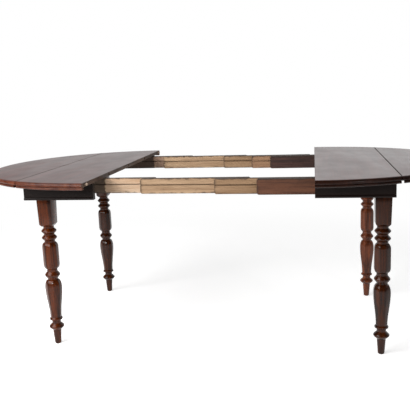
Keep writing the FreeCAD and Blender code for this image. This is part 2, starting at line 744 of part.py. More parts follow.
def rail_start(depth, number, last):
    """X of the left end of a rail in the open table."""
    if number == 0:
        return f"-(opening / 2 + {LEG_INSIDE})"
    if number == last:
        return f"opening / 2 - {SLIDE_REACH}"
    lapping = f"({last + 1} * {SLIDE_LENGTH} - opening - 2 * {LEG_INSIDE})"
    laps = f"({' + '.join(SLIDE_LAPS[depth][:number])}) * {lapping}"
    return f"{SLIDE_REACH} - opening / 2 + {number - 1} * {SLIDE_LENGTH} - {laps}"


def tee(sketch, root, neck_end, head_end, neck_width, head_width):
    """A T section lying along Y: a neck from its root, then a wider head."""
    level = f"({SLIDE_TOP} - groove_level)"
    outline(sketch, (
        (root, f"{level} - ({neck_width}) / 2"), (neck_end, f"{level} - ({neck_width}) / 2"),
        (neck_end, f"{level} - ({head_width}) / 2"), (head_end, f"{level} - ({head_width}) / 2"),
        (head_end, f"{level} + ({head_width}) / 2"), (neck_end, f"{level} + ({head_width}) / 2"),
        (neck_end, f"{level} + ({neck_width}) / 2"), (root, f"{level} + ({neck_width}) / 2")))


def slide_rail(depth, number, last):
    """A rail with a stopped T groove in its front face and a T tongue on its back face."""
    body = new_body(f"{depth}_slide_rail_{number + 1}")
    corner = "slide_corner_radius"
    sketch = new_sketch(body, "XZ_Plane")
    outline(sketch, (
        (corner, SLIDE_FOOT), (f"{SLIDE_LENGTH} - {corner}", SLIDE_FOOT, corner),
        (SLIDE_LENGTH, f"{SLIDE_FOOT} + {corner}"), (SLIDE_LENGTH, f"{SLIDE_TOP} - {corner}", corner),
        (f"{SLIDE_LENGTH} - {corner}", SLIDE_TOP), (corner, SLIDE_TOP, corner),
        ("0", f"{SLIDE_TOP} - {corner}"), ("0", f"{SLIDE_FOOT} + {corner}", corner)))
    extruded(body, "Pad", sketch, "slide_thickness", reverse=True)
    rounded(body, "slide_edge_radius", is_long_edge)
    if number < last:
        sketch = new_sketch(body, "YZ_Plane")
        tee(sketch, f"-{BEYOND}", "groove_mouth_depth", "groove_mouth_depth + groove_room_depth",
            "groove_mouth", "groove_room")
        extruded(body, "Pocket", sketch, f"{SLIDE_LENGTH} - groove_stop", reverse=True)
    if number > 0:
        mouth = "slide_thickness + slide_gap + groove_mouth_depth + tongue_fit"
        sketch = new_sketch(body, "YZ_Plane", "tongue_inset")
        tee(sketch, "slide_thickness", mouth, f"{mouth} + groove_room_depth - 2 * tongue_fit",
            "groove_mouth - 2 * tongue_fit", "groove_room - 2 * tongue_fit")
        extruded(body, "Pad", sketch, "tongue_length")
    if number in (0, last):
        slide_screw_holes(body, number)
    place(body, rail_start(depth, number, last), rail_face(depth, number))


def is_long_edge(edge):
    """The top and bottom edges along the rail's faces."""
    box = edge.BoundBox
    return box.XLength > box.ZLength and box.XLength > value(SLIDE_LENGTH) / 2


def slide_screw_holes(body, number):
    """Holes up through a fixed rail, the heads sunk in its foot."""
    for radius, depth in (("wood_screw_radius", f"{SLIDE_TOP} - {SLIDE_FOOT}"),
                          ("wood_screw_head", "wood_screw_sink")):
        sketch = new_sketch(body, "XY_Plane", SLIDE_FOOT)
        for reach in ("slide_screw_inner", "slide_screw_outer"):
            x = f"{LEG_INSIDE} - {reach}" if number == 0 else f"{SLIDE_REACH} + {reach}"
            circle(sketch, x, "slide_thickness - slide_screw_inset", radius)
        extruded(body, "Pocket", sketch, depth, reverse=True)


def slides():
    for depth, last in LAST_RAILS.items():
        for number in range(last + 1):
            slide_rail(depth, number, last)


def slide_packing():
    """The block that fills the space between the front apron and the rail fixed to the right half."""
    body = new_body("right_slide_packing")
    sketch = new_sketch(body, "XY_Plane", SLIDE_FOOT)
    rectangle(sketch, "packing_inset", LEG_INSIDE, f"-{APRON_INSIDE}",
              rail_face("front", LAST_RAILS["front"]))
    extruded(body, "Pad", sketch, f"{UNDERSIDE} - {SLIDE_FOOT}")
    place_in_half(body, "right")


# ------------------------------------------------------------------- battens and leaf supports

def batten(half):
    """The cross batten that keeps the fixed board flat, notched for the leaf supports."""
    body = new_body(f"{half}_cross_batten")
    sketch = new_sketch(body, "XY_Plane", f"{UNDERSIDE} - batten_height")
    rectangle(sketch, "batten_inset", "batten_inset + batten_width",
              f"-{BATTEN_LENGTH} / 2", f"{BATTEN_LENGTH} / 2")
    extruded(body, "Pad", sketch, "batten_height")
    sketch = new_sketch(body, "XY_Plane", UNDERSIDE)
    room = "(loper_width / 2 + loper_tail_lip + loper_gap)"
    for side in ("", "-"):
        middle = f"{side}{LOPER_LINE}"
        rectangle(sketch, f"batten_inset - {BEYOND}", f"batten_inset + batten_width + {BEYOND}",
                  f"{middle} - {room}", f"{middle} + {room}")
    extruded(body, "Pocket", sketch, f"{UNDERSIDE} - {CHANNEL_FLOOR}")
    for radius, depth in (("wood_screw_radius", "batten_height"),
                          ("wood_screw_head", "wood_screw_sink")):
        sketch = new_sketch(body, "XY_Plane", f"{UNDERSIDE} - batten_height")
        for x, y in batten_screw_places():
            circle(sketch, x, y, radius)
        extruded(body, "Pocket", sketch, depth, reverse=True)
    place_in_half(body, half)


def leaf_support(half, depth):
    """A loper: it is drawn out through the end rail to hold the raised leaf."""
    body = new_body(f"{half}_{depth}_leaf_support")
    tail = "loper_start + loper_tail_length"
    wide = "loper_width / 2 + loper_tail_lip"
    slim = "loper_width / 2"
    end = f"{APRON_END} + loper_pull"
    sketch = new_sketch(body, "XY_Plane", LOPER_FOOT)
    outline(sketch, (
        ("loper_start", f"-({wide})"), (tail, f"-({wide})"), (tail, f"-{slim}"),
        (end, f"-{slim}"), (end, slim), (tail, slim), (tail, wide), ("loper_start", wide)))
    extruded(body, "Pad", sketch, "loper_height")
    place_in_half(body, half, y=f"{sign_in_half(half, depth)}{LOPER_LINE}")


def support_guides(half):
    """Channels glued under the fixed board, one round each leaf support."""
    body = new_body(f"{half}_support_guides")
    sketch = new_sketch(body, "YZ_Plane", f"{RAIL_INSIDE} - guide_length")
    room = "(loper_width / 2 + loper_gap)"
    for side in ("", "-"):
        middle = f"{side}{LOPER_LINE}"
        outline(sketch, (
            (f"{middle} - {room} - guide_wall", f"{CHANNEL_FLOOR} - guide_floor"),
            (f"{middle} + {room} + guide_wall", f"{CHANNEL_FLOOR} - guide_floor"),
            (f"{middle} + {room} + guide_wall", UNDERSIDE),
            (f"{middle} + {room}", UNDERSIDE), (f"{middle} + {room}", CHANNEL_FLOOR),
            (f"{middle} - {room}", CHANNEL_FLOOR), (f"{middle} - {room}", UNDERSIDE),
            (f"{middle} - {room} - guide_wall", UNDERSIDE)))
    extruded(body, "Pad", sketch, "guide_length")
    place_in_half(body, half)


# ----------------------------------------------------------------------------------------- hinges

def hinge_plate_outline(sketch, middle, part_of):
    """A plate with tabs to its knuckles: two outer ones for the board's, a middle one for the leaf's."""
    way = "-" if part_of == "board" else "+"
    far = f"{PIN_PLACE} {way} (leaf_gap / 2 + hinge_plate_reach)"
    clear = f"{PIN_PLACE} {way} (hinge_barrel_radius + hinge_recess_play)"
    outer, inner = (PIN_PLACE, clear) if part_of == "board" else (clear, PIN_PLACE)
    end = "hinge_width / 2"
    step = knuckle_spans("board")[1][0] if part_of == "board" else knuckle_spans("leaf")[0][1]
    outline(sketch, (
        (far, f"{middle} + {end}"), (far, f"{middle} - {end}"), (outer, f"{middle} - {end}"),
        (outer, f"{middle} - ({step})"), (inner, f"{middle} - ({step})"),
        (inner, f"{middle} + ({step})"), (outer, f"{middle} + ({step})"),
        (outer, f"{middle} + {end}")))


def knuckle_spans(part_of):
    """Where the barrel belongs to the board's plate or to the leaf's, from the hinge's middle."""
    if part_of == "board":
        return (("-hinge_width / 2", "-hinge_width / 6 - hinge_knuckle_gap"),
                ("hinge_width / 6 + hinge_knuckle_gap", "hinge_width / 2"))
    return (("-hinge_width / 6", "hinge_width / 6"),)


def hinge_plates(half, part_of):
    """The three plates under the fixed board or under the leaf, with their knuckles."""
    body = new_body(f"{half}_{part_of}_hinge_plates")
    sketch = new_sketch(body, "XY_Plane", UNDERSIDE)
    for middle in hinge_places():
        hinge_plate_outline(sketch, middle, part_of)
    extruded(body, "Pad", sketch, "hinge_plate_thickness")
    for start, end in knuckle_spans(part_of):
        length = f"({end}) - ({start})"
        barrels(body, "Pad", start, length, "hinge_barrel_radius")
        barrels(body, "Pocket", start, length, "hinge_pin_radius + hinge_pin_play")
    for radius, depth in (("small_screw_radius", "hinge_plate_thickness"),
                          ("small_screw_head", "small_screw_sink")):
        sketch = new_sketch(body, "XY_Plane", UNDERSIDE)
        for x, y in hinge_screw_places(part_of):
            circle(sketch, x, y, radius)
        extruded(body, "Pocket", sketch, depth, reverse=True)
    place_in_half(body, half)


def barrels(body, kind, start, length, radius):
    """Adds or bores a length of barrel at each of the three hinges."""
    for middle in hinge_places():
        sketch = new_sketch(body, "XZ_Plane", f"-({middle} + {start})")
        circle(sketch, PIN_PLACE, PIN_LEVEL, radius)
        extruded(body, kind, sketch, length, reverse=kind == "Pad")


def hinge_pins(half):
    body = new_body(f"{half}_hinge_pins")
    barrels(body, "Pad", "-hinge_width / 2", "hinge_width", "hinge_pin_radius")
    place_in_half(body, half)


# ----------------------------------------------------------------------------------------- screws

def screw_group(label, half, places, foot, shank, radius, head, sink):
    """Upright screws with flat heads: foot is the level of the heads, shank their length above."""
    body = new_body(label)
    for level, length, size in ((foot, sink, head), (f"{foot} + {sink}", shank, radius)):
        sketch = new_sketch(body, "XY_Plane", level)
        for x, y in places:
            circle(sketch, x, y, size)
        extruded(body, "Pad", sketch, length)
    place_in_half(body, half)


def screws(half):
    small = ("small_screw_length", "small_screw_radius", "small_screw_head", "small_screw_sink")
    for part_of in ("board", "leaf"):
        screw_group(f"{half}_{part_of}_hinge_screws", half, hinge_screw_places(part_of),
                    UNDERSIDE, *small)
    large = ("wood_screw_radius", "wood_screw_head", "wood_screw_sink")
    screw_group(f"{half}_batten_screws", half, batten_screw_places(),
                f"({UNDERSIDE} - batten_height)",
                "batten_height - wood_screw_sink + wood_screw_grip", *large)
    screw_group(f"{half}_slide_screws", half, slide_screw_places(half), SLIDE_FOOT,
                f"{UNDERSIDE} - {SLIDE_FOOT} - wood_screw_sink + wood_screw_grip", *large)


# --------------------------------------------------------------------------------- the whole table

def build():
    for half in HALVES:
        fixed_board(half)
        drop_leaf(half)
        end_rail(half)
        corner_blocks(half)
        batten(half)
        support_guides(half)
        for depth in DEPTHS:
            apron(half, depth)
            apron_bead(half, depth)
            leaf_support(half, depth)
        for part_of in ("board", "leaf"):
            edge_bead(half, part_of)
            hinge_plates(half, part_of)
        hinge_pins(half)
        screws(half)
    dowels()
    legs()
    slides()
    slide_packing()
    doc.recompute()


def check():
    """Stops if anything in the document failed or a piece has no sound shape."""
    for item in doc.Objects:
        if "Invalid" in item.State or "Error" in item.State:
            raise RuntimeError(f"{item.Label} failed: {item.State}")
    for body in parts:
        if body.Shape.isNull() or not body.Shape.isValid() or not body.Shape.Solids:
            raise RuntimeError(f"{body.Label} has no sound shape")


def write():
    os.makedirs("parts", exist_ok=True)
    for body in parts:
        body.Shape.exportStep(f"parts/{body.Label}.step")


build()
check()
write()
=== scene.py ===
import functools
import json
import math

import bpy
from mathutils import Matrix, Vector

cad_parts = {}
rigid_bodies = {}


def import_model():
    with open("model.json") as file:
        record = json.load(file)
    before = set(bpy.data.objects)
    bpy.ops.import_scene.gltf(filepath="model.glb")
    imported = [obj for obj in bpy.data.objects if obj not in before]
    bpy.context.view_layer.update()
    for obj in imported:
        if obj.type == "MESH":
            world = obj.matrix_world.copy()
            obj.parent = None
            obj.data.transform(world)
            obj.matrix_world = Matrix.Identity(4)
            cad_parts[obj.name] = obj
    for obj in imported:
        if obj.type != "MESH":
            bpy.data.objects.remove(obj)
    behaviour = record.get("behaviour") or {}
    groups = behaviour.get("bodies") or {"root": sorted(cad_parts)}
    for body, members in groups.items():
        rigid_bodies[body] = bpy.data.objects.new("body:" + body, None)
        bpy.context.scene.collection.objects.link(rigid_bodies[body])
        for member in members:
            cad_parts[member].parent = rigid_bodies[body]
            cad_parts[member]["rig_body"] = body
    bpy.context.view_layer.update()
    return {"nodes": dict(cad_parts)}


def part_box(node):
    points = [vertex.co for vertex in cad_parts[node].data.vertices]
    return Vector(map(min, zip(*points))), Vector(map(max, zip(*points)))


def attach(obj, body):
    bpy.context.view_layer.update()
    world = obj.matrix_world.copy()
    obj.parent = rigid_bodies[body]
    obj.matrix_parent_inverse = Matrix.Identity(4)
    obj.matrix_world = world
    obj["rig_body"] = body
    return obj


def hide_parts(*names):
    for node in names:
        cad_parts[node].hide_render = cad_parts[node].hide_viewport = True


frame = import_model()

# Dresses a round mahogany extending table: polish on its boards and legs, planed and worn wood on
# its slides, iron and steel on its fittings, and a pale studio round it. All sizes are in metres.
# X runs along the table, Y from its front to its back and Z up from the floor.

bl_info = {
    "name": "Round Extending Table",
    "version": (1, 0, 0),
    "blender": (4, 5, 0),
    "location": "3D View > Sidebar > Table",
    "description": "Finishes a round mahogany table that extends on wooden slides",
    "category": "Object",
}

MM = 0.001
NODES = frame["nodes"]
HALVES = ("left", "right")
DEPTHS = ("front", "back")
X, Y, Z = range(3)

# Sockets of a Mix node, for numbers and for colours.
MIX_A, MIX_B, MIX_COLOUR_A, MIX_COLOUR_B = 2, 3, 6, 7

# Faces and edges of the pieces.
TOP, RIM, SAWN, UNDERSIDE = range(4)          # a board's material slots
STRAIGHT, ROUGHLY, HARDLY = 0.98, 0.9, 0.1    # share of a face's normal along an axis
ON_LINE = 0.1 * MM                 # points this near a line are on it
BY_JOINT = 2 * MM                  # faces this near the leaf joint belong to it
SAME_POINT = 0.005 * MM            # points this near each other are one
FLAT_ANGLE = math.radians(0.5)     # faces of a board that turn less than this are made one
BOARD_SMOOTH_ANGLE = math.radians(30)         # softer edges of a board are shaded smooth
SMOOTH_ANGLE = math.radians(35)    # softer edges of a leg or a dowel are shaded smooth
ROUNDED_ANGLE = math.radians(30)   # sharper edges of a leg's flat sides are rounded

# Legs and dowels.
LEG_LENGTHS = (                    # millimetres, from the floor up
    ("peg", 63), ("foot ring", 30), ("ankle", 11), ("collar", 15), ("vase", 165),
    ("vase neck", 6.5), ("middle ring", 29), ("barrel neck", 10.5), ("barrel", 115),
    ("lower neck", 7.5), ("lower ring", 24), ("upper neck", 4.5), ("upper ring", 24),
    ("block neck", 9), ("block cant", 9))
TURNED_SIDES, DOWEL_SIDES = 64, 32            # round work
FACETED_SIDES, BLOCK_SIDES = 8, 4             # work with flat sides
RING_SECTION = ((0, 0), (0.3, 0.74), (0.42, 0.96), (0.5, 1))   # shares of height and of swelling
VASE_BELLY = 0.8                   # share of the vase's height at which it is widest
VASE_STEPS, DOME_STEPS = 12, 8     # levels from its foot to its belly, and from there to its head
BARREL_SHOULDER = (                # shares of the shoulder's height and of its widening
    (0, 0), (0.15, 0.35), (0.3, 0.62), (0.45, 0.79), (0.65, 0.9), (0.85, 0.97), (1, 1))
BLOCK_LAP = 1 * MM                 # by which the block's notched part reaches into the part below
DOWEL_DOME = ((0.5, 1), (0.24, 0.92), (0.08, 0.72), (0, 0.4))  # below its end, radius; in radii

# The stage.
FLOOR_SIZE = 40
FLOOR_DROP = 0.1 * MM              # keeps the floor clear of the feet
FLOOR_SHARE = 0.38                 # of the floor's white that comes from the light on it
FLOOR_FADE = (1.3, 2.8)            # distances between which it turns to plain white
BRIGHT_SIDE = (0.3, 0.95, 0)       # way to the room's bright side, behind the table
BRIGHT_FROM = 0.1                  # share of that way at which the room begins to brighten
LAMP_TARGET = (0, 0, 0.6)
LAMPS = (                          # name, place, width, and the property that holds the power
    ("Key lamp", (-2.1, -1.8, 2.2), 2.4, "key_power"),
    ("Front lamp", (-1.3, -3.0, 1.4), 0.5, "front_power"),
    ("Spark lamp", (2.3, -2.9, 1.6), 0.25, "spark_power"))


# --------------------------------------------------------------------------- sizes and colours

def linear(code):
    """An sRGB hex colour as linear red, green, blue and full opacity."""
    shares = [int(code[start:start + 2], 16) / 255 for start in (1, 3, 5)]
    return [share / 12.92 if share <= 0.04045 else ((share + 0.055) / 1.055) ** 2.4
            for share in shares] + [1]


def colour(code, name, description):
    """A property for a colour."""
    return bpy.props.FloatVectorProperty(
        name=name, description=description, default=linear(code), subtype="COLOR", size=4,
        min=0, max=1)


def length(metres, name, description):
    """A property for a length."""
    return bpy.props.FloatProperty(
        name=name, description=description, default=metres, unit="LENGTH")


class TableFinish(bpy.types.PropertyGroup):
    """Colours of the woods and metals."""

    polish_dark: colour("#431d18", "Polish, dark", "Dark figure of the polished boards")
    polish_light: colour("#5b2c25", "Polish, light", "Light figure of the polished boards")
    rim_dark: colour("#441c11", "Rim, dark", "Dark figure of the moulded rims")
    rim_light: colour("#6d3b27", "Rim, light", "Light figure of the moulded rims")
    # Painted shade: the right rim is coloured darker than the left one, to stand for the shade it
    # is in.
    shaded_rim_dark: colour("#1b0d08", "Shaded rim, dark", "Dark figure of the darker right rim")
    shaded_rim_light: colour("#351b12", "Shaded rim, light", "Light figure of the darker right rim")
    leg_dark: colour("#280d02", "Leg, dark", "Dark figure of the left front leg")
    leg_light: colour("#682c05", "Leg, light", "Light figure of the left front leg")
    # Painted light: the right back leg is coloured lighter for the light that falls on it.
    lit_leg_dark: colour("#3f1e12", "Lit leg, dark", "Dark figure of the right back leg")
    lit_leg_light: colour("#8c4a2b", "Lit leg, light", "Light figure of the right back leg")
    # Painted shade: the right front and left back legs are coloured darker for the shade they
    # stand in.
    shaded_leg_dark: colour("#1c0902", "Shaded leg, dark", "Dark figure of the other two legs")
    shaded_leg_light: colour("#4b2004", "Shaded leg, light", "Light figure of the other two legs")
    frame_dark: colour("#120a08", "Apron, dark", "Dark figure of the aprons")
    # The aprons' own light figure, and also the tint of the painted shadow of the left board on
    # the rails.
    frame_light_and_shade: colour("#1e130f", "Apron, light", "Light figure of the aprons")
    raw_edge: colour("#6a5142", "Sawn edge", "Dull wood of the boards where they meet")
    raw_under: colour("#3a281f", "Underside", "Bare wood under the boards")
    # Rail 1 is paler than the other rails: partly its own cleaner beech, partly painted light
    # against the left board's shade on it.
    rail_1_dark: colour("#c6a281", "Rail 1, dark", "Dark figure of the palest rail")
    rail_1_light: colour("#e6cbaf", "Rail 1, light", "Light figure of the palest rail")
    rail_2_dark: colour("#9c7c5e", "Rail 2, dark", "Dark figure of the second rails")
    rail_2_light: colour("#c4a483", "Rail 2, light", "Light figure of the second rails")
    rail_3_dark: colour("#866749", "Rail 3, dark", "Dark figure of the third rails")
    rail_3_light: colour("#ad8c6c", "Rail 3, light", "Light figure of the third rails")
    # Painted light: back rail 1 is coloured lighter to make up for the shade it lies in.
    back_1_dark: colour("#9c7d69", "Back rail 1, dark", "Dark figure of the farthest rail")
    back_1_light: colour("#cbaa92", "Back rail 1, light", "Light figure of the farthest rail")
    back_4_dark: colour("#856047", "Back rail 4, dark", "Dark figure of the fourth rail")
    back_4_light: colour("#b08a6a", "Back rail 4, light", "Light figure of the fourth rail")
    beech_dark: colour("#b0917a", "Beech, dark", "Dark figure of the dowels")
    beech_light: colour("#dcc6b2", "Beech, light", "Light figure of the dowels")
    front_4_dark: colour("#40271b", "Front rail 4, dark", "Dark figure of the front mahogany rail")
    front_4_light: colour(
        "#704733", "Front rail 4, light", "Light figure of the front mahogany rail")
    back_5_dark: colour("#2a1b17", "Back rail 5, dark", "Dark figure of the back mahogany rail")
    back_5_light: colour("#4d332c", "Back rail 5, light", "Light figure of the back mahogany rail")
    inner_dark: colour("#5d4230", "Inner wood, dark", "Dark figure of the wood under the top")
    inner_light: colour("#86664a", "Inner wood, light", "Light figure of the wood under the top")
    # Real dirt on the slides, the metal and the sawn faces, and also the painted shade at the
    # rails' ends and edges.
    grime_and_shade: colour("#3a2c24", "Grime", "Dirt on top of the slides and in the hollows")
    iron: colour("#3b3633", "Iron", "Wrought iron of the hinges")
    steel: colour("#8b8781", "Steel", "Steel of the screws")
    floor: colour("#f4f4f4", "Floor", "Paper on the floor, by itself")
    white: colour("#ffffff", "White", "Background, and the floor as it is seen")


class TableSizes(bpy.types.PropertyGroup):
    """Sizes of the new pieces. The lengths along a leg are in LEG_LENGTHS."""

    opening: length(0.835, "Opening", "Space between the halves as drawn out")
    board_width: length(0.295, "Fixed board", "Meeting edge to hinge line")
    leaf_gap: length(0.0018, "Leaf joint", "Between fixed board and leaf")
    arris: length(0.0018, "Arris", "Rounding of the boards' straight edges")
    leg_inset: length(0.252, "Leg, along", "Meeting edge to the middle of a leg")
    leg_line: length(0.351, "Leg, across", "Middle of the table to the middle of a leg")
    peg_tip: length(0.013, "Peg tip", "Radius of the peg near the floor")
    peg_bevel: length(0.003, "Peg bevel", "Bevel round the peg on the floor")
    peg_top: length(0.0175, "Peg top", "Radius of the peg under the foot ring")
    ankle: length(0.018, "Ankle", "Radius of the waist above the foot ring")
    collar: length(0.0265, "Collar", "Radius of the collar under the vase")
    neck: length(0.0215, "Neck", "Radius of the upper waists")
    ring: length(0.031, "Ring", "Radius of the turned rings")
    vase_foot: length(0.043, "Vase foot", "Width across the flats")
    vase_belly: length(0.064, "Vase belly", "Width across the flats")
    vase_top: length(0.040, "Vase top", "Width across the flats")
    barrel: length(0.061, "Barrel", "Width across the flats")
    barrel_end: length(0.044, "Barrel ends", "Width across the flats")
    shoulder: length(0.020, "Barrel shoulder", "Height of the barrel's rounded ends")
    block_foot: length(0.056, "Block foot", "Width of the square block at its lower end")
    block: length(0.062, "Block", "Width of the square block inside the apron")
    apron_foot: length(0.644, "Apron foot", "Height of the aprons above the floor")
    apron_thickness: length(0.022, "Apron", "Thickness of the apron that the leg is notched for")
    underside: length(0.708, "Underside", "Height of the underside of the boards")
    leg_arris: length(0.0012, "Leg arris", "Rounding of the leg's long edges")


class TableView(bpy.types.PropertyGroup):
    """The camera, the lamps and the light of the room."""

    camera_place: bpy.props.FloatVectorProperty(
        name="Camera", description="Where the camera stands", subtype="TRANSLATION",
        unit="LENGTH", default=(0.413, -2.7407, 1.0458))
    camera_yaw: bpy.props.FloatProperty(
        name="Yaw", description="Turn of the camera to the right of the Y axis",
        subtype="ANGLE", default=math.radians(-10.01))
    camera_pitch: bpy.props.FloatProperty(
        name="Pitch", description="How far the camera looks down", subtype="ANGLE",
        default=math.radians(10.49))
    camera_roll: bpy.props.FloatProperty(
        name="Roll", description="Tilt of the camera about its own line of sight",
        subtype="ANGLE", default=math.radians(-2.2))
    lens: bpy.props.FloatProperty(
        name="Lens", description="Focal length of the camera", unit="CAMERA", default=55.05)
    sensor: bpy.props.FloatProperty(
        name="Sensor", description="Width of the camera's sensor", unit="CAMERA", default=36)
    fill: bpy.props.FloatProperty(
        name="Fill", description="Brightness of the room on matt surfaces", default=0.2, min=0)
    front_gloss: bpy.props.FloatProperty(
        name="Front gloss", description="Brightness of the dim side of the room in reflections",
        default=0.05, min=0)
    back_gloss: bpy.props.FloatProperty(
        name="Back gloss", description="Brightness of the bright side of the room in reflections",
        default=1.15, min=0)
    key_power: bpy.props.FloatProperty(
        name="Key lamp", description="Large soft lamp at the left", unit="POWER", default=95)
    front_power: bpy.props.FloatProperty(
        name="Front lamp", description="Small lamp in front, at the left", unit="POWER",
        default=24)
    spark_power: bpy.props.FloatProperty(
        name="Spark lamp", description="Small lamp at the right, for crisp highlights",
        unit="POWER", default=9)


def finish():
    return bpy.context.scene.table_finish


def sizes():
    return bpy.context.scene.table_sizes


# ------------------------------------------------------------------------------------ materials

def add_node(tree, kind, inputs, **settings):
    """Adds a node with its settings and links.

    An input takes a value, a socket, or a node, whose first live output is linked.
    """
    node = tree.nodes.new(kind)
    for name, setting in settings.items():
        setattr(node, name, setting)
    for name, given in inputs.items():
        if isinstance(given, bpy.types.Node):
            given = next(output for output in given.outputs if output.enabled)
        if isinstance(given, bpy.types.NodeSocket):
            tree.links.new(given, node.inputs[name])
        else:
            node.inputs[name].default_value = given
    return node


def new_material(name):
    """An empty material, the function that adds to it, and its coordinates."""
    material = bpy.data.materials.new(name)
    material.use_nodes = True
    material.node_tree.nodes.clear()
    add = functools.partial(add_node, material.node_tree)
    return material, add, add("ShaderNodeTexCoord", {})


def blots(add, place, along, width, reach, **inputs):
    """Noise whose blots are drawn out along one axis, in metres across it and along it."""
    scale = [1 / width] * 3
    scale[along] = 1 / reach
    spread = add("ShaderNodeMapping", {"Vector": place, "Scale": scale})
    return add("ShaderNodeTexNoise", {"Vector": spread, "Scale": 1, **inputs})


def wood(name, along, dark, light, figure, line, pore, gloss, haze, depth, dirt_and_shade=None,
         specular=0.5, coat=0, coat_gloss=0.03):
    """Wood with broad figure, growth lines and pores, all drawn out along one axis.

    figure, line and pore are (width, length) of their blots. gloss is the roughness of the finish,
    haze how much it varies, and depth how deep the pores look. dirt_and_shade gives the colours
    and the shares of what darkens the wood, dirt and painted shade alike, from the function that
    adds nodes, the coordinates and the patches. specular and coat are strengths, and coat_gloss is
    the roughness of the coat.
    """
    material, add, coordinates = new_material(name)
    place = coordinates.outputs["Object"]
    stripes = blots(add, place, along, *figure, Detail=3, Distortion=0.6)
    lines = blots(add, place, along, *line, Detail=4, Roughness=0.65)
    pores = add("ShaderNodeMapRange", {
        "Value": blots(add, place, along, *pore, Detail=2), "From Min": 0.58, "From Max": 0.72,
        "To Max": depth}, interpolation_type="SMOOTHSTEP")
    share = add("ShaderNodeMapRange", {
        "Value": add("ShaderNodeMix", {"Factor": 0.4, MIX_A: stripes, MIX_B: lines}),
        "From Min": 0.34, "From Max": 0.66}, interpolation_type="SMOOTHSTEP")
    surface = add("ShaderNodeMix", {"Factor": share, MIX_COLOUR_A: dark, MIX_COLOUR_B: light},
                  data_type="RGBA")
    surface = add("ShaderNodeMix", {"Factor": pores, MIX_COLOUR_A: surface, MIX_COLOUR_B: dark},
                  data_type="RGBA", blend_type="MULTIPLY")
    patches = blots(add, place, along, width=90 * MM, reach=160 * MM, Detail=3)
    if dirt_and_shade is not None:
        for tint, cover_share in dirt_and_shade(add, coordinates, patches):
            surface = add(
                "ShaderNodeMix",
                {"Factor": cover_share, MIX_COLOUR_A: surface, MIX_COLOUR_B: tint},
                data_type="RGBA")
    height = add("ShaderNodeMath", {0: lines, 1: pores}, operation="SUBTRACT")
    bump = add("ShaderNodeBump", {"Strength": 0.35, "Distance": 0.2 * MM, "Height": height})
    sheen = add("ShaderNodeMapRange", {
        "Value": patches, "From Min": 0.3, "From Max": 0.7,
        "To Min": gloss - haze, "To Max": gloss + haze}, interpolation_type="SMOOTHSTEP")
    shader = add("ShaderNodeBsdfPrincipled", {
        "Base Color": surface, "Normal": bump, "Roughness": sheen,
        "Specular IOR Level": specular, "Coat Weight": coat, "Coat Roughness": coat_gloss})
    add("ShaderNodeOutputMaterial", {"Surface": shader})
    return material


def french_polished_mahogany():
    # Cuban mahogany under old shellac: red-brown ribbon with short dark pores and a hazy sheen.
    return wood(
        "French-polished mahogany", Y, finish().polish_dark, finish().polish_light,
        figure=(38 * MM, 600 * MM), line=(5 * MM, 160 * MM), pore=(1.4 * MM, 16 * MM),
        gloss=0.36, haze=0.025, depth=0.5, specular=0.42, coat=0.15, coat_gloss=0.2)


def rubbed_mahogany(half, dark, light):
    # The moulded rim: the same wood, rubbed by hands, so it shines less than the top.
    return wood(
        f"Rubbed mahogany, {half} rim", Y, dark, light,
        figure=(38 * MM, 300 * MM), line=(5 * MM, 90 * MM), pore=(1.4 * MM, 16 * MM),
        gloss=0.3, haze=0.06, depth=0.5, specular=0.2)


def sawn_mahogany(name, shade):
    # Faces that were never polished: dull, dirty, with the saw's and plane's marks.
    return wood(
        name, Y, finish().grime_and_shade, shade,
        figure=(12 * MM, 260 * MM), line=(3 * MM, 60 * MM), pore=(1.4 * MM, 14 * MM),
        gloss=0.6, haze=0.08, depth=0.5, specular=0.3)


def polished_turned_mahogany(name, dark, light):
    # Turned mahogany, rubbed with polish on the lathe: glossy, with grain running up the leg. The
    # right back leg is coloured lighter as painted light, and the right front and left back legs
    # darker as painted shade.
    return wood(
        name, Z, dark, light,
        figure=(16 * MM, 320 * MM), line=(4 * MM, 120 * MM), pore=(1.2 * MM, 12 * MM),
        gloss=0.3, haze=0.07, depth=0.5, specular=0.12, coat=0.3, coat_gloss=0.1)


def stained_mahogany(name, along):
    # Mahogany apron stained nearly black, its polish gone dull.
    return wood(
        name, along, finish().frame_dark, finish().frame_light_and_shade,
        figure=(20 * MM, 400 * MM), line=(4 * MM, 120 * MM), pore=(1.2 * MM, 12 * MM),
        gloss=0.42, haze=0.06, depth=0.4, specular=0.13)


